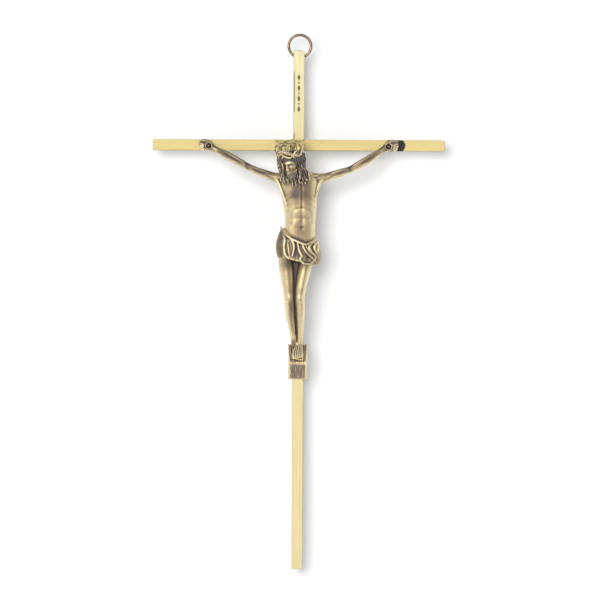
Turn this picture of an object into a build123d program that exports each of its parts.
from build123d import *

import os
from math import cos, pi, radians, sin, sqrt

# A slim brass wall crucifix: two bars halved into each other, a cast figure with separate arms,
# a crown, a footrest, the pins and screws that hold them, and a wire ring to hang it by.
# Millimetres. +Z runs up the upright, +X to the viewer's right, -Y towards the viewer.
# The origin is on the wall, at the back of the bars, where their middle lines cross.

# Bars
BAR_WIDTH = 5.2
BAR_DEPTH = 4.0
UPRIGHT_ABOVE = 44.9
UPRIGHT_BELOW = 200.9
CROSSBAR_LENGTH = 138.4
EDGE_BREAK = 0.25
LAP_CLEARANCE = 0.03

# Engraved ornament on the upright, a row of lozenges with round dots between them
MARK_COUNT = 4
MARK_PITCH = 5.0
MARK_LENGTH = 3.2
MARK_WIDTH = 1.5
MARK_DOT_RADIUS = 0.4
MARK_DEPTH = 0.3
MARKS_ABOVE_CROSSING = 24.6

# Hanging ring, a split wire ring through a hole drilled across the top of the upright
RING_RADIUS = 5.3
RING_WIRE_RADIUS = 0.65
RING_SHIFT = 0.4
RING_SPLIT_ANGLE = 3.0
RING_SPLIT_FROM_BOTTOM = 50.0
RING_HOLE_DROP = 2.6
RING_CLEARANCE = 0.06

# Rivet through the crossing, flush in front and behind
RIVET_RADIUS = 0.9
RIVET_HEAD_RADIUS = 1.4
RIVET_HEAD_DEPTH = 0.5
RIVET_CLEARANCE = 0.03

# Screws from behind into the figure and the footrest
SCREW_RADIUS = 0.8
SCREW_HEAD_RADIUS = 1.5
SCREW_HEAD_DEPTH = 0.7
SCREW_SLOT_WIDTH = 0.4
SCREW_SLOT_DEPTH = 0.3
SCREW_SINK = 0.15
SCREW_CLEARANCE = 0.05
CASTING_THREAD_DEPTH = 3.0

# Hand pins, with a domed head on a flat seat in each palm
PIN_RADIUS = 0.5
PIN_HEAD_RADIUS = 1.0
PIN_HEAD_HEIGHT = 0.55
PIN_SEAT_FORWARD = 1.4
PIN_SEAT_CUT = 1.5
PIN_CLEARANCE = 0.05
PIN_SINK = 0.15
PIN_REACH = 42.7
PIN_DROP = 0.5

# Torso: heights down the body from the crossing, then half widths and half depths
SHOULDER_DROP = 15.2
NECK_BASE_RISE = 2.4
CHEST_TOP_DROP = 2.8
CHEST_LENGTH = 6.0
RIB_LENGTH = 6.0
WAIST_LENGTH = 5.6
HIP_LENGTH = 10.6
SEAT_LENGTH = 5.0
NECK_BASE_HALF_WIDTH = 5.0
NECK_BASE_HALF_DEPTH = 2.2
SHOULDER_HALF_WIDTH = 8.8
SHOULDER_HALF_DEPTH = 3.2
CHEST_HALF_WIDTH = 9.6
CHEST_HALF_DEPTH = 4.4
RIB_HALF_WIDTH = 8.3
RIB_HALF_DEPTH = 5.0
BELLY_HALF_WIDTH = 7.5
BELLY_HALF_DEPTH = 4.5
WAIST_HALF_WIDTH = 7.0
WAIST_HALF_DEPTH = 4.1
HIP_HALF_WIDTH = 7.9
HIP_HALF_DEPTH = 4.7
SEAT_HALF_WIDTH = 7.2
SEAT_HALF_DEPTH = 4.2
BODY_FORWARD = 6.5
SHOULDER_SET_BACK = 0.9
BODY_OFFSET = 0.4
BOSS_RADIUS = 2.0

# Arms: where they leave the shoulders, how they run to the palms, and their thickness
ARM_ROOT_REACH = 10.9
ARM_ROOT_FORWARD = 5.6
ARM_ROOT_RADIUS = 2.1
UPPER_ARM_RADIUS = 1.9
ELBOW_RADIUS = 1.65
FOREARM_RADIUS = 1.95
WRIST_RADIUS = 1.5
ELBOW_FORWARD = 5.2
WRIST_LIFT = 1.7
RIGHT_ELBOW_SAG = 1.0
LEFT_ELBOW_SAG = 2.3
SHOULDER_RADIUS = 3.2
SHOULDER_LENGTH = 6.0
TENON_RADIUS = 0.9
TENON_LENGTH = 2.2
TENON_CLEARANCE = 0.04

# Hands, palms forward, with the fingers half closed
HAND_RISE = 30.0
PALM_FORWARD = 0.85
PALM_LENGTH = 5.6
KNUCKLE_REACH = 2.0
PALM_HALF_WIDTH = 2.0
PALM_HALF_DEPTH = 1.05
FINGER_COUNT = 4
FINGER_RADIUS = 0.46
FINGER_TIP_RADIUS = 0.37
FINGER_LENGTH = 2.2
FINGER_STRAIGHT = 1.55
FINGER_CURL = 1.5
FINGER_PITCH = 1.05
THUMB_RADIUS = 0.5
THUMB_TIP_RADIUS = 0.4
THUMB_LENGTH = 2.4
THUMB_LEAN = 1.0

# Legs and feet
THIGH_LENGTH = 25.9
SHIN_LENGTH = 21.0
CALF_DROP = 8.0
HIP_JOINT_RADIUS = 3.4
THIGH_RADIUS = 3.2
KNEE_RADIUS = 2.5
CALF_RADIUS = 2.3
ANKLE_RADIUS = 1.4
RIGHT_HIP_OFFSET = -5.7
LEFT_HIP_OFFSET = 4.4
RIGHT_KNEE_OFFSET = -4.1
LEFT_KNEE_OFFSET = 0.8
RIGHT_CALF_OFFSET = -3.4
LEFT_CALF_OFFSET = 1.0
RIGHT_ANKLE_OFFSET = -2.0
LEFT_ANKLE_OFFSET = 1.1
KNEE_FORWARD = 10.2
CALF_FORWARD = 8.0
ANKLE_FORWARD = 5.0
WEB_HALF_DEPTH = 0.7
WEB_SET_BACK = 0.3
FOOT_ROOT_RISE = 2.0
FOOT_ROOT_RADIUS = 0.75
FOOT_HALF_WIDTH = 1.4
INSTEP_HALF_HEIGHT = 1.9
BALL_HALF_HEIGHT = 1.3
TOE_HALF_HEIGHT = 0.8
INSTEP_SETBACK = 7.2
BALL_SETBACK = 3.6
TOE_SETBACK = 1.6
SOLE_SINK = 0.3

# Head, hair, beard and crown
HEAD_OFFSET = -3.8
HEAD_DROP = 8.0
HEAD_FORWARD = 11.4
HEAD_BOW = 24.0
HEAD_LEAN = 8.0
HEAD_TURN = 22.0
HEAD_HALF_WIDTH = 4.0
HEAD_HALF_DEPTH = 4.7
HEAD_HALF_HEIGHT = 6.6
NECK_RADIUS = 2.7
HAIR_THICKNESS = 0.9
LOCK_RADIUS = 1.5
LOCK_END_RADIUS = 0.9
LOCK_LENGTH = 12.0
LOCK_RISE = 1.0
LOCK_STAND_OFF = 0.5
RIGHT_LOCK_DRIFT = 1.5
LEFT_LOCK_DRIFT = 2.6
CROWN_RADIUS = 6.27
CROWN_WIRE_RADIUS = 0.69
CROWN_RISE = 5.0
CROWN_SET_BACK = 0.5
CROWN_WEAVE_ANGLE = 8.0
CROWN_STRANDS = 3
CROWN_CLEARANCE = 0.05
THORNS_PER_STRAND = 4
THORN_LENGTH = 1.6
THORN_RADIUS = 0.34
THORN_TIP_RADIUS = 0.06
THORN_LEAN = 15.0

# Loincloth, a band of folds from the hips down, with one end hanging at the figure's left hip
CLOTH_THICKNESS = 0.6
CLOTH_RISE = 3.7
CLOTH_DROP = 8.9
CLOTH_FLARE = 2.0
CLOTH_FOLDS = 9
CLOTH_FOLD_HEIGHT = 0.4
CLOTH_WAIST_SLOPE = 17.0
CLOTH_WAIST_SAG = 24.0
CLOTH_HEM_SLOPE = 9.0
CLOTH_END_LENGTH = 10.0
CLOTH_END_RADIUS = 1.3

# Footrest, a wedge with a sloping top
FOOTREST_WIDTH = 9.2
FOOTREST_EDGE_WIDTH = 7.6
FOOTREST_HEIGHT = 16.9
FOOTREST_REACH = 8.6
FOOTREST_EDGE_HEIGHT = 1.2
FOOTREST_EDGE_DROP = 9.2
FOOTREST_BELOW_ANKLE = 0.9
FOOTREST_ROUNDING = 0.3

# Shape of the head from chin to crown, as shares of its half sizes: height, set back, width, depth
HEAD_SHAPE = [
    (-1.00, -0.45, 0.38, 0.34),
    (-0.70, -0.26, 0.70, 0.66),
    (-0.25, -0.10, 0.92, 0.90),
    (0.22, 0.00, 1.00, 1.00),
    (0.65, 0.06, 0.88, 0.88),
    (0.95, 0.09, 0.42, 0.44),
]

# Shape of the hair over the head, in the same shares
HAIR_SHAPE = [
    (-0.95, 0.62, 0.80, 0.42),
    (-0.50, 0.40, 1.08, 0.72),
    (0.05, 0.22, 1.20, 0.88),
    (0.40, 0.13, 1.24, 1.00),
    (0.86, 0.12, 1.36, 1.09),
    (1.04, 0.12, 1.32, 1.05),
    (1.16, 0.12, 1.10, 0.88),
    (1.23, 0.12, 0.55, 0.45),
]

# Beard and nose down the middle of the face, as shares of the head's half depth, height and width:
# forward, up and radius
BEARD_SHAPE = [(0.42, -0.62, 0.55), (0.50, -1.00, 0.42), (0.45, -1.39, 0.21)]
NOSE_SHAPE = [(0.92, 0.20, 0.08), (1.00, -0.14, 0.14)]

# Bars and ring, worked out
LAP_DEPTH = BAR_DEPTH / 2
RING_MOUTH = BAR_WIDTH / 2 + RING_SHIFT
RING_MOUTH_DROP = sqrt((RING_RADIUS - RING_WIRE_RADIUS) ** 2 - RING_MOUTH**2)
RING_BOTTOM_DROP = RING_RADIUS + RING_WIRE_RADIUS
RING_HOLE_RADIUS = (RING_BOTTOM_DROP - RING_MOUTH_DROP) / 2 + RING_CLEARANCE
RING_AXIS_HEIGHT = UPRIGHT_ABOVE - RING_HOLE_DROP
RING_CENTRE_HEIGHT = RING_AXIS_HEIGHT + (RING_BOTTOM_DROP + RING_MOUTH_DROP) / 2
RING_CENTRE = Vector(RING_SHIFT, -BAR_DEPTH / 2, RING_CENTRE_HEIGHT)

# Heights down the figure, worked out
SHOULDER_HEIGHT = -SHOULDER_DROP
CHEST_HEIGHT = SHOULDER_HEIGHT - CHEST_TOP_DROP
RIB_HEIGHT = CHEST_HEIGHT - CHEST_LENGTH
BELLY_HEIGHT = RIB_HEIGHT - RIB_LENGTH
WAIST_HEIGHT = BELLY_HEIGHT - WAIST_LENGTH
HIP_HEIGHT = WAIST_HEIGHT - HIP_LENGTH
SEAT_HEIGHT = HIP_HEIGHT - SEAT_LENGTH
KNEE_HEIGHT = HIP_HEIGHT - THIGH_LENGTH
CALF_HEIGHT = KNEE_HEIGHT - CALF_DROP
ANKLE_HEIGHT = KNEE_HEIGHT - SHIN_LENGTH
FOOTREST_TOP = ANKLE_HEIGHT - FOOTREST_BELOW_ANKLE
FOOTREST_MIDDLE = FOOTREST_TOP - FOOTREST_HEIGHT / 2
FOOTREST_EDGE = FOOTREST_TOP - FOOTREST_EDGE_DROP
FRONT = Plane.XZ.offset(BAR_DEPTH)
HEAD = Plane(
    Location(
        (HEAD_OFFSET, -BAR_DEPTH - HEAD_FORWARD, -HEAD_DROP),
        (HEAD_BOW, -HEAD_LEAN, -HEAD_TURN),
    )
)


def at(across, forward, height):
    """A point of the figure: across the cross, forward of the bars, up from the crossing."""
    return Vector(across, -BAR_DEPTH - forward, height)


def half_way(first, second):
    """The point half way between two points."""
    return (first + second) * 0.5


def limb(stations, width_direction):
    """A form lofted through ellipses square to its path, each a (centre, half width, half depth)."""
    centres = [centre for centre, _, _ in stations]
    with BuildPart() as form:
        for index, (centre, half_width, half_depth) in enumerate(stations):
            along = centres[min(index + 1, len(centres) - 1)] - centres[max(index - 1, 0)]
            along = along.normalized()
            across = Vector(width_direction)
            across = (across - along * across.dot(along)).normalized()
            with BuildSketch(Plane(origin=centre, x_dir=across, z_dir=along)):
                Ellipse(half_width, half_depth)
        loft()
    return form.part


def round_limb(stations, width_direction):
    """A limb of round sections, each a (centre, radius)."""
    return limb([(centre, radius, radius) for centre, radius in stations], width_direction)


def screw(height, length):
    """A slotted countersunk screw, driven from behind into the cross at a height."""
    with BuildPart() as form:
        with BuildSketch(Plane.XY.offset(height)):
            with BuildLine():
                Polyline(
                    (0, -SCREW_SINK),
                    (SCREW_HEAD_RADIUS, -SCREW_SINK),
                    (SCREW_RADIUS, -SCREW_SINK - SCREW_HEAD_DEPTH),
                    (SCREW_RADIUS, -SCREW_SINK - length),
                    (0, -SCREW_SINK - length),
                    close=True,
                )
            make_face()
        revolve(axis=Axis((0, 0, height), (0, 1, 0)))
        with Locations((0, -SCREW_SINK, height)):
            Box(2 * SCREW_HEAD_RADIUS, 2 * SCREW_SLOT_DEPTH, SCREW_SLOT_WIDTH, mode=Mode.SUBTRACT)
    return form.part


def screw_hole(height, depth):
    """The countersunk hole that such a screw goes into, to a depth from the back of the bars."""
    with BuildPart() as form:
        with BuildSketch(Plane.XY.offset(height)):
            with BuildLine():
                Polyline(
                    (0, 0),
                    (SCREW_HEAD_RADIUS + SCREW_CLEARANCE, 0),
                    (SCREW_HEAD_RADIUS + SCREW_CLEARANCE, -SCREW_SINK),
                    (SCREW_RADIUS + SCREW_CLEARANCE, -SCREW_SINK - SCREW_HEAD_DEPTH),
                    (SCREW_RADIUS + SCREW_CLEARANCE, -depth),
                    (0, -depth),
                    close=True,
                )
            make_face()
        revolve(axis=Axis((0, 0, height), (0, 1, 0)))
    return form.part


# Screws: one into the figure's back and one into the footrest
SCREW_HOLE_DEPTH = BAR_DEPTH + CASTING_THREAD_DEPTH
SCREW_LENGTH = SCREW_HOLE_DEPTH - SCREW_SINK - SCREW_CLEARANCE
corpus_hole = screw_hole(HIP_HEIGHT, SCREW_HOLE_DEPTH)
footrest_hole = screw_hole(FOOTREST_MIDDLE, SCREW_HOLE_DEPTH)
with BuildPart() as corpus_screw:
    add(screw(HIP_HEIGHT, SCREW_LENGTH))
with BuildPart() as footrest_screw:
    add(screw(FOOTREST_MIDDLE, SCREW_LENGTH))


def rivet(growth):
    """A rivet with a flush countersunk head at each end, its radii grown when it is its hole."""
    with BuildPart() as form:
        with BuildSketch(Plane.XY):
            with BuildLine():
                Polyline(
                    (0, 0),
                    (RIVET_HEAD_RADIUS + growth, 0),
                    (RIVET_RADIUS + growth, -RIVET_HEAD_DEPTH),
                    (RIVET_RADIUS + growth, RIVET_HEAD_DEPTH - BAR_DEPTH),
                    (RIVET_HEAD_RADIUS + growth, -BAR_DEPTH),
                    (0, -BAR_DEPTH),
                    close=True,
                )
            make_face()
        revolve(axis=Axis.Y)
    return form.part


crossing_hole = rivet(RIVET_CLEARANCE)
with BuildPart() as crossing_rivet:
    add(rivet(0))

# Upright, housed in front for the crossbar and drilled across for the ring
with BuildPart() as upright_bar:
    with BuildSketch(Plane.XY.offset(-UPRIGHT_BELOW)):
        with Locations((0, -BAR_DEPTH / 2)):
            Rectangle(BAR_WIDTH, BAR_DEPTH)
    extrude(amount=UPRIGHT_ABOVE + UPRIGHT_BELOW)
    chamfer(upright_bar.edges(), EDGE_BREAK)
    with Locations((0, -BAR_DEPTH + LAP_DEPTH / 2, 0)):
        Box(BAR_WIDTH, LAP_DEPTH, BAR_WIDTH + 2 * LAP_CLEARANCE, mode=Mode.SUBTRACT)
    with Locations(Plane(origin=(BAR_WIDTH / 2, -BAR_DEPTH / 2, RING_AXIS_HEIGHT), z_dir=(1, 0, 0))):
        Hole(RING_HOLE_RADIUS)
    add(crossing_hole, mode=Mode.SUBTRACT)
    add(corpus_hole, mode=Mode.SUBTRACT)
    add(footrest_hole, mode=Mode.SUBTRACT)
    with BuildSketch(FRONT):
        with Locations((0, MARKS_ABOVE_CROSSING)):
            with GridLocations(0, MARK_PITCH, 1, MARK_COUNT):
                Polygon(
                    (0, MARK_LENGTH / 2),
                    (-MARK_WIDTH / 2, 0),
                    (0, -MARK_LENGTH / 2),
                    (MARK_WIDTH / 2, 0),
                )
            with GridLocations(0, MARK_PITCH, 1, MARK_COUNT - 1):
                Circle(MARK_DOT_RADIUS)
    extrude(amount=-MARK_DEPTH, mode=Mode.SUBTRACT)

# Crossbar, housed behind for the upright and drilled for the hand pins
PIN_PLACES = [Plane(origin=at(side * PIN_REACH, 0, -PIN_DROP), z_dir=(0, -1, 0)) for side in (-1, 1)]
with BuildPart() as crossbar:
    with BuildSketch(Plane.YZ.offset(-CROSSBAR_LENGTH / 2)):
        with Locations((-BAR_DEPTH / 2, 0)):
            Rectangle(BAR_DEPTH, BAR_WIDTH)
    extrude(amount=CROSSBAR_LENGTH)
    chamfer(crossbar.edges(), EDGE_BREAK)
    with Locations((0, -LAP_DEPTH / 2, 0)):
        Box(BAR_WIDTH + 2 * LAP_CLEARANCE, LAP_DEPTH, BAR_WIDTH, mode=Mode.SUBTRACT)
    add(crossing_hole, mode=Mode.SUBTRACT)
    with Locations(PIN_PLACES):
        Hole(PIN_RADIUS + PIN_CLEARANCE, depth=BAR_DEPTH)

# Hanging ring, split just beside the hole that it passes through
SPLIT_TURN = radians(RING_SPLIT_FROM_BOTTOM)
SPLIT_OUT = Vector(-sin(SPLIT_TURN), 0, -cos(SPLIT_TURN))
with BuildPart() as hanging_ring:
    with BuildSketch(Plane(RING_CENTRE, x_dir=SPLIT_OUT, z_dir=Vector(0, 1, 0).cross(SPLIT_OUT))):
        with Locations((RING_RADIUS, 0)):
            Circle(RING_WIRE_RADIUS)
    revolve(axis=Axis(RING_CENTRE, (0, 1, 0)), revolution_arc=360 - RING_SPLIT_ANGLE)

# Footrest: the plain wedge, and the finished piece with its rounded front and screw hole
with BuildPart() as footrest_wedge:
    with BuildSketch(FRONT):
        with Locations((0, FOOTREST_MIDDLE)):
            Rectangle(FOOTREST_WIDTH, FOOTREST_HEIGHT)
    with BuildSketch(FRONT.offset(FOOTREST_REACH)):
        with Locations((0, FOOTREST_EDGE)):
            Rectangle(FOOTREST_EDGE_WIDTH, FOOTREST_EDGE_HEIGHT)
    loft(ruled=True)

with BuildPart() as footrest:
    add(footrest_wedge.part)
    fillet(footrest.edges().group_by(Axis.Y)[0], FOOTREST_ROUNDING)
    add(footrest_hole, mode=Mode.SUBTRACT)

# Torso, lofted through level ellipses from the base of the neck to the seat
SHOULDER_FORWARD = BODY_FORWARD - SHOULDER_SET_BACK
NECK_BASE_HEIGHT = SHOULDER_HEIGHT + NECK_BASE_RISE
TORSO_SECTIONS = [
    (NECK_BASE_HEIGHT, SHOULDER_FORWARD, NECK_BASE_HALF_WIDTH, NECK_BASE_HALF_DEPTH),
    (SHOULDER_HEIGHT, SHOULDER_FORWARD, SHOULDER_HALF_WIDTH, SHOULDER_HALF_DEPTH),
    (CHEST_HEIGHT, BODY_FORWARD, CHEST_HALF_WIDTH, CHEST_HALF_DEPTH),
    (RIB_HEIGHT, BODY_FORWARD, RIB_HALF_WIDTH, RIB_HALF_DEPTH),
    (BELLY_HEIGHT, BODY_FORWARD, BELLY_HALF_WIDTH, BELLY_HALF_DEPTH),
    (WAIST_HEIGHT, BODY_FORWARD, WAIST_HALF_WIDTH, WAIST_HALF_DEPTH),
    (HIP_HEIGHT, BODY_FORWARD, HIP_HALF_WIDTH, HIP_HALF_DEPTH),
    (SEAT_HEIGHT, BODY_FORWARD, SEAT_HALF_WIDTH, SEAT_HALF_DEPTH),
]
with BuildPart() as torso:
    for height, forward, half_width, half_depth in TORSO_SECTIONS:
        with BuildSketch(Plane(at(BODY_OFFSET, forward, height))):
            Ellipse(half_width, half_depth)
    loft()

# Neck and head, the head in its own bowed, leaning and turned frame with its face along -y
neck_base = at(BODY_OFFSET, SHOULDER_FORWARD, CHEST_HEIGHT)
neck = round_limb(
    [
        (neck_base, NECK_BASE_HALF_DEPTH),
        (half_way(neck_base, HEAD.origin), NECK_RADIUS),
        (HEAD.origin, NECK_RADIUS),
    ],
    (1, 0, 0),
)


def head_form(shape, growth):
    """A form lofted up the head from shares of its half sizes, each grown by a thickness."""
    half_width = HEAD_HALF_WIDTH + growth
    half_depth = HEAD_HALF_DEPTH + growth
    half_height = HEAD_HALF_HEIGHT + growth
    with BuildPart() as form:
        for height, set_back, width, depth in shape:
            with BuildSketch(HEAD.offset(height * half_height)):
                with Locations((0, set_back * half_depth)):
                    Ellipse(width * half_width, depth * half_depth)
        loft()
    return form.part


head = head_form(HEAD_SHAPE, 0)
hair = head_form(HAIR_SHAPE, HAIR_THICKNESS)


def in_head(across, back, up):
    """A point in the head's own frame: across the face, towards the back, up to the crown."""
    return HEAD.from_local_coords((across, back, up))


# Locks of hair down both sides of the face to the shoulders
locks = []
for side, drift in ((-1, RIGHT_LOCK_DRIFT), (1, LEFT_LOCK_DRIFT)):
    temple = in_head(side * HEAD_HALF_WIDTH, 0, LOCK_RISE)
    cheek = in_head(side * (HEAD_HALF_WIDTH + LOCK_STAND_OFF), 0, LOCK_RISE - LOCK_LENGTH / 2)
    end = cheek + Vector(drift, LOCK_RADIUS, -LOCK_LENGTH / 2)
    lock = [(temple, LOCK_RADIUS), (cheek, LOCK_RADIUS), (end, LOCK_END_RADIUS)]
    locks.append(round_limb(lock, (1, 0, 0)))


# Beard below the jaw, and a plain nose
def down_the_face(shape):
    """A round form down the middle of the face, through shares of the head's half sizes."""
    stations = []
    for forward, up, radius in shape:
        middle = in_head(0, -forward * HEAD_HALF_DEPTH, up * HEAD_HALF_HEIGHT)
        stations.append((middle, radius * HEAD_HALF_WIDTH))
    return round_limb(stations, (1, 0, 0))


beard = down_the_face(BEARD_SHAPE)
nose = down_the_face(NOSE_SHAPE)


def crown_ring(number):
    """The plane of one strand of the crown, each leaned another way."""
    turn = Location((0, CROWN_SET_BACK, CROWN_RISE), (0, 0, 360 * number / CROWN_STRANDS))
    return Plane(HEAD.location * turn * Location((0, 0, 0), (CROWN_WEAVE_ANGLE, 0, 0)))


def crown_strand(number, wire_radius):
    """One round strand of the crown, from wire of a radius."""
    ring = crown_ring(number)
    with BuildPart() as form:
        with BuildSketch(Plane(ring.origin, x_dir=ring.x_dir, z_dir=ring.y_dir)):
            with Locations((CROWN_RADIUS, 0)):
                Circle(wire_radius)
        revolve(axis=Axis(ring.origin, ring.z_dir))
    return form.part


def thorn_place(ring, number):
    """The middle of a strand where a thorn starts, pointing out and leaning up or down in turn."""
    turn = Location((0, 0, 0), (0, 0, 360 * (number + 0.5) / THORNS_PER_STRAND))
    lean = Location((CROWN_RADIUS, 0, 0), (0, 90 - THORN_LEAN * (-1) ** number, 0))
    return ring.location * turn * lean


# Crown, with thorns that stand out all round
with BuildPart() as crown_of_thorns:
    for number in range(CROWN_STRANDS):
        add(crown_strand(number, CROWN_WIRE_RADIUS))
    thorn_places = [
        thorn_place(crown_ring(strand), number)
        for strand in range(CROWN_STRANDS)
        for number in range(THORNS_PER_STRAND)
    ]
    with Locations(*thorn_places):
        Cone(
            THORN_RADIUS,
            THORN_TIP_RADIUS,
            CROWN_WIRE_RADIUS + THORN_LENGTH,
            align=(Align.CENTER, Align.CENTER, Align.MIN),
        )

# The seat for the crown, a band turned into the hair that the leaning strands just fit
CROWN_LEAN = radians(CROWN_WEAVE_ANGLE)
CROWN_SEAT_RADIUS = CROWN_RADIUS * cos(CROWN_LEAN) - CROWN_WIRE_RADIUS - CROWN_CLEARANCE
CROWN_SEAT_HEIGHT = 2 * (CROWN_RADIUS * sin(CROWN_LEAN) + CROWN_WIRE_RADIUS + CROWN_CLEARANCE)
CROWN_SEAT_REACH = CROWN_RADIUS + CROWN_WIRE_RADIUS + THORN_LENGTH + CROWN_CLEARANCE
CROWN_MIDDLE = HEAD.from_local_coords((0, CROWN_SET_BACK, CROWN_RISE))
with BuildPart() as crown_seat:
    with BuildSketch(Plane(CROWN_MIDDLE, x_dir=HEAD.x_dir, z_dir=HEAD.y_dir)):
        with Locations((CROWN_SEAT_RADIUS, 0)):
            Rectangle(
                CROWN_SEAT_REACH - CROWN_SEAT_RADIUS,
                CROWN_SEAT_HEIGHT,
                align=(Align.MIN, Align.CENTER),
            )
    revolve(axis=Axis(CROWN_MIDDLE, HEAD.z_dir))


# Loincloth: folds as a wave on ellipses that slope across the hips, lofted from waist to hem
def cloth_outline(half_width, half_depth, fold_height):
    """Points round an ellipse whose radius rises and falls once for each fold."""
    points = []
    for step in range(4 * CLOTH_FOLDS):
        turn = 2 * pi * step / (4 * CLOTH_FOLDS)
        swell = fold_height * cos(CLOTH_FOLDS * turn)
        points.append(((half_width + swell) * cos(turn), (half_depth + swell) * sin(turn)))
    return points


CLOTH_HALF_WIDTH = HIP_HALF_WIDTH + CLOTH_THICKNESS
CLOTH_HALF_DEPTH = HIP_HALF_DEPTH + CLOTH_THICKNESS
CLOTH_SECTIONS = [
    (CLOTH_RISE, CLOTH_WAIST_SAG, CLOTH_WAIST_SLOPE, 0, CLOTH_FOLD_HEIGHT / 2),
    (0, CLOTH_WAIST_SAG / 2, CLOTH_WAIST_SLOPE, CLOTH_FLARE / 2, CLOTH_FOLD_HEIGHT),
    (-CLOTH_DROP, 0, CLOTH_HEM_SLOPE, CLOTH_FLARE, CLOTH_FOLD_HEIGHT),
]
with BuildPart() as loincloth:
    for rise, sag, slope, flare, fold_height in CLOTH_SECTIONS:
        outline = cloth_outline(CLOTH_HALF_WIDTH + flare, CLOTH_HALF_DEPTH, fold_height)
        middle = at(BODY_OFFSET, BODY_FORWARD, HIP_HEIGHT + rise)
        with BuildSketch(Plane(Location(middle, (sag, slope, 0)))):
            with BuildLine():
                Spline(outline, periodic=True)
            make_face()
    loft()
cloth_end_top = at(BODY_OFFSET + CLOTH_HALF_WIDTH, BODY_FORWARD, HIP_HEIGHT + CLOTH_END_RADIUS)
cloth_end = round_limb(
    [
        (cloth_end_top, CLOTH_END_RADIUS / 2),
        (cloth_end_top - Vector(0, 0, CLOTH_END_LENGTH / 2), CLOTH_END_RADIUS),
        (cloth_end_top - Vector(0, 0, CLOTH_END_LENGTH), CLOTH_END_RADIUS),
    ],
    (1, 0, 0),
)

# Legs, each from the hip over the bent knee to the ankle, and a foot down the footrest's slope
FOOTREST_SLOPE = Vector(0, -FOOTREST_REACH, FOOTREST_EDGE_HEIGHT / 2 - FOOTREST_EDGE_DROP)
SLOPE_LENGTH = FOOTREST_SLOPE.length
SLOPE_ALONG = FOOTREST_SLOPE.normalized()
SLOPE_UP = SLOPE_ALONG.cross(Vector(1, 0, 0))


def on_slope(across, setback, lift):
    """A point over the footrest's sloping top, set back from its front edge."""
    top = at(across, 0, FOOTREST_TOP)
    return top + SLOPE_ALONG * (SLOPE_LENGTH - setback) + SLOPE_UP * lift


def leg(hip_offset, knee_offset, calf_offset, ankle_offset):
    """A leg with round sections, bent forward at the knee."""
    hip = at(hip_offset, BODY_FORWARD, SEAT_HEIGHT)
    knee = at(knee_offset, KNEE_FORWARD, KNEE_HEIGHT)
    stations = [
        (hip, HIP_JOINT_RADIUS),
        (half_way(hip, knee), THIGH_RADIUS),
        (knee, KNEE_RADIUS),
        (at(calf_offset, CALF_FORWARD, CALF_HEIGHT), CALF_RADIUS),
        (at(ankle_offset, ANKLE_FORWARD, ANKLE_HEIGHT), ANKLE_RADIUS),
    ]
    return round_limb(stations, (1, 0, 0))


def foot(ankle_offset):
    """A foot that starts inside the shin, its sole just into the footrest's slope."""
    root = at(ankle_offset, ANKLE_FORWARD, ANKLE_HEIGHT + FOOT_ROOT_RISE)
    stations = [(root, FOOT_ROOT_RADIUS, FOOT_ROOT_RADIUS)]
    foot_shape = [
        (INSTEP_SETBACK, INSTEP_HALF_HEIGHT),
        (BALL_SETBACK, BALL_HALF_HEIGHT),
        (TOE_SETBACK, TOE_HALF_HEIGHT),
    ]
    for setback, half_height in foot_shape:
        lift = half_height - SOLE_SINK
        stations.append((on_slope(ankle_offset, setback, lift), FOOT_HALF_WIDTH, half_height))
    return limb(stations, (1, 0, 0))


legs = [
    leg(RIGHT_HIP_OFFSET, RIGHT_KNEE_OFFSET, RIGHT_CALF_OFFSET, RIGHT_ANKLE_OFFSET),
    leg(LEFT_HIP_OFFSET, LEFT_KNEE_OFFSET, LEFT_CALF_OFFSET, LEFT_ANKLE_OFFSET),
]
feet = [foot(RIGHT_ANKLE_OFFSET), foot(LEFT_ANKLE_OFFSET)]

# The casting is closed between the legs by a web that narrows to the ankles
leg_web = limb(
    [
        (
            at((RIGHT_HIP_OFFSET + LEFT_HIP_OFFSET) / 2, BODY_FORWARD, SEAT_HEIGHT),
            (LEFT_HIP_OFFSET - RIGHT_HIP_OFFSET) / 2,
            WEB_HALF_DEPTH,
        ),
        (
            at((RIGHT_KNEE_OFFSET + LEFT_KNEE_OFFSET) / 2, KNEE_FORWARD - WEB_SET_BACK, KNEE_HEIGHT),
            (LEFT_KNEE_OFFSET - RIGHT_KNEE_OFFSET) / 2,
            WEB_HALF_DEPTH,
        ),
        (
            at((RIGHT_CALF_OFFSET + LEFT_CALF_OFFSET) / 2, CALF_FORWARD - WEB_SET_BACK, CALF_HEIGHT),
            (LEFT_CALF_OFFSET - RIGHT_CALF_OFFSET) / 2,
            WEB_HALF_DEPTH,
        ),
        (
            at((RIGHT_ANKLE_OFFSET + LEFT_ANKLE_OFFSET) / 2, ANKLE_FORWARD - WEB_SET_BACK, ANKLE_HEIGHT),
            (LEFT_ANKLE_OFFSET - RIGHT_ANKLE_OFFSET) / 2,
            WEB_HALF_DEPTH,
        ),
    ],
    (1, 0, 0),
)


# Arms: the line from each shoulder over the elbow and wrist to the palm that a pin holds
def arm_line(side, elbow_sag):
    """Points of an arm from its root to the knuckles, on the left (-1) or right (1) of the cross."""
    hand = Vector(side * cos(radians(HAND_RISE)), 0, sin(radians(HAND_RISE)))
    root = at(side * ARM_ROOT_REACH, ARM_ROOT_FORWARD, SHOULDER_HEIGHT)
    palm = at(side * PIN_REACH, PALM_FORWARD, -PIN_DROP)
    wrist = palm - hand * PALM_LENGTH - Vector(0, WRIST_LIFT, 0)
    elbow = half_way(root, wrist)
    elbow = Vector(elbow.X, -BAR_DEPTH - ELBOW_FORWARD, elbow.Z - elbow_sag)
    return root, elbow, wrist, palm, palm + hand * KNUCKLE_REACH


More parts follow.
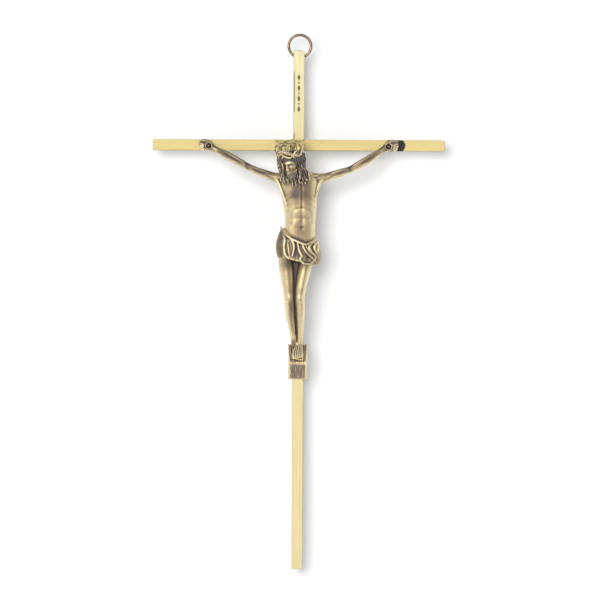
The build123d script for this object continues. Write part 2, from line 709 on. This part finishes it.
def arm_root(side, elbow_sag):
    """The plane where an arm meets its shoulder, facing out along the arm."""
    root, elbow, _, _, _ = arm_line(side, elbow_sag)
    return Plane(root, z_dir=elbow - root)


def arm_and_hand(side, elbow_sag):
    """The arm as one tapering form from the shoulder to the knuckles."""
    root, elbow, wrist, palm, knuckles = arm_line(side, elbow_sag)
    return limb(
        [
            (root, ARM_ROOT_RADIUS, ARM_ROOT_RADIUS),
            (half_way(root, elbow), UPPER_ARM_RADIUS, UPPER_ARM_RADIUS),
            (elbow, ELBOW_RADIUS, ELBOW_RADIUS),
            (half_way(elbow, wrist), FOREARM_RADIUS, FOREARM_RADIUS),
            (wrist, WRIST_RADIUS, WRIST_RADIUS),
            (palm, PALM_HALF_WIDTH, PALM_HALF_DEPTH),
            (knuckles, PALM_HALF_WIDTH, PALM_HALF_DEPTH),
        ],
        (0, 0, 1),
    )


def fingers(side, elbow_sag):
    """Four fingers that bend forward from the knuckles, and a thumb along the palm's upper edge."""
    _, _, _, palm, knuckles = arm_line(side, elbow_sag)
    along = (knuckles - palm).normalized()
    forward = Vector(0, -1, 0)
    up = along.cross(forward) * -side
    forms = []
    for number in range(FINGER_COUNT):
        base = knuckles + up * (FINGER_PITCH * (number - (FINGER_COUNT - 1) / 2))
        bend = base + along * FINGER_STRAIGHT
        tip = base + along * FINGER_LENGTH + forward * FINGER_CURL
        forms.append(
            round_limb(
                [
                    (base - along * FINGER_RADIUS, FINGER_RADIUS),
                    (bend, FINGER_RADIUS),
                    (half_way(bend, tip) + along * FINGER_RADIUS / 2, FINGER_RADIUS),
                    (tip, FINGER_TIP_RADIUS),
                ],
                up,
            )
        )
    thumb_base = palm + up * (PALM_HALF_WIDTH - THUMB_RADIUS / 2)
    forms.append(
        round_limb(
            [
                (thumb_base - along * THUMB_RADIUS, THUMB_RADIUS),
                (thumb_base + (along * THUMB_LENGTH + forward * THUMB_LEAN) * 0.5, THUMB_RADIUS),
                (thumb_base + along * THUMB_LENGTH + forward * THUMB_LEAN, THUMB_TIP_RADIUS),
            ],
            up,
        )
    )
    return forms


def shoulder(side, elbow_sag):
    """The shoulder that swells from the torso out to the plane where the arm meets it."""
    root_plane = arm_root(side, elbow_sag)
    end = root_plane.origin
    start = end - root_plane.z_dir * SHOULDER_LENGTH
    middle_radius = (SHOULDER_RADIUS + ARM_ROOT_RADIUS) / 2
    stations = [(start, SHOULDER_RADIUS), (half_way(start, end), middle_radius), (end, ARM_ROOT_RADIUS)]
    return round_limb(stations, (0, 0, 1))


right_arm_forms = [arm_and_hand(-1, RIGHT_ELBOW_SAG), *fingers(-1, RIGHT_ELBOW_SAG)]
left_arm_forms = [arm_and_hand(1, LEFT_ELBOW_SAG), *fingers(1, LEFT_ELBOW_SAG)]
right_pin_plane, left_pin_plane = PIN_PLACES

with BuildPart() as corpus_right_arm:
    add(right_arm_forms)
    split(bisect_by=FRONT, keep=Keep.TOP)
    with Locations(arm_root(-1, RIGHT_ELBOW_SAG)):
        Cylinder(TENON_RADIUS, TENON_LENGTH, align=(Align.CENTER, Align.CENTER, Align.MAX))
    with Locations(right_pin_plane.offset(PIN_SEAT_FORWARD + PIN_SEAT_CUT)):
        CounterBoreHole(PIN_RADIUS + PIN_CLEARANCE, PIN_HEAD_RADIUS + PIN_CLEARANCE, PIN_SEAT_CUT)

with BuildPart() as corpus_left_arm:
    add(left_arm_forms)
    split(bisect_by=FRONT, keep=Keep.TOP)
    with Locations(arm_root(1, LEFT_ELBOW_SAG)):
        Cylinder(TENON_RADIUS, TENON_LENGTH, align=(Align.CENTER, Align.CENTER, Align.MAX))
    with Locations(left_pin_plane.offset(PIN_SEAT_FORWARD + PIN_SEAT_CUT)):
        CounterBoreHole(PIN_RADIUS + PIN_CLEARANCE, PIN_HEAD_RADIUS + PIN_CLEARANCE, PIN_SEAT_CUT)

# Hand pins
PIN_SEAT = BAR_DEPTH + PIN_SEAT_FORWARD
PIN_DOME_RADIUS = (PIN_HEAD_RADIUS**2 + PIN_HEAD_HEIGHT**2) / (2 * PIN_HEAD_HEIGHT)
with BuildPart() as hand_pins:
    for side in (-1, 1):
        with BuildSketch(Plane((side * PIN_REACH, 0, -PIN_DROP))):
            with BuildLine():
                Polyline(
                    (0, -PIN_SEAT - PIN_HEAD_HEIGHT),
                    (0, -PIN_SINK),
                    (PIN_RADIUS, -PIN_SINK),
                    (PIN_RADIUS, -PIN_SEAT),
                    (PIN_HEAD_RADIUS, -PIN_SEAT),
                )
                RadiusArc(
                    (PIN_HEAD_RADIUS, -PIN_SEAT),
                    (0, -PIN_SEAT - PIN_HEAD_HEIGHT),
                    PIN_DOME_RADIUS,
                )
            make_face()
        revolve(axis=Axis((side * PIN_REACH, 0, -PIN_DROP), (0, 1, 0)))

# Figure's body, one casting, with sockets for the arms, a seat for the crown and a boss behind
body_forms = [
    torso.part,
    neck,
    head,
    hair,
    *locks,
    beard,
    nose,
    shoulder(-1, RIGHT_ELBOW_SAG),
    shoulder(1, LEFT_ELBOW_SAG),
    loincloth.part,
    cloth_end,
    *legs,
    *feet,
    leg_web,
]
with BuildPart() as corpus_body:
    add(body_forms)
    with BuildSketch(FRONT):
        with Locations((0, HIP_HEIGHT)):
            Circle(BOSS_RADIUS)
    extrude(amount=BODY_FORWARD)
    split(bisect_by=FRONT, keep=Keep.TOP)
    with Locations(arm_root(-1, RIGHT_ELBOW_SAG), arm_root(1, LEFT_ELBOW_SAG)):
        Cylinder(
            TENON_RADIUS + TENON_CLEARANCE,
            TENON_LENGTH + TENON_CLEARANCE,
            align=(Align.CENTER, Align.CENTER, Align.MAX),
            mode=Mode.SUBTRACT,
        )
    add(crown_seat.part, mode=Mode.SUBTRACT)
    add(footrest_wedge.part, mode=Mode.SUBTRACT)
    add(corpus_hole, mode=Mode.SUBTRACT)

os.makedirs("parts", exist_ok=True)
pieces = {
    "upright_bar": upright_bar,
    "crossbar": crossbar,
    "crossing_rivet": crossing_rivet,
    "hanging_ring": hanging_ring,
    "corpus_body": corpus_body,
    "corpus_right_arm": corpus_right_arm,
    "corpus_left_arm": corpus_left_arm,
    "crown_of_thorns": crown_of_thorns,
    "footrest": footrest,
    "hand_pins": hand_pins,
    "corpus_screw": corpus_screw,
    "footrest_screw": footrest_screw,
}
for name, piece in pieces.items():
    piece.part.label = name
    export_step(piece.part, f"parts/{name}.step")
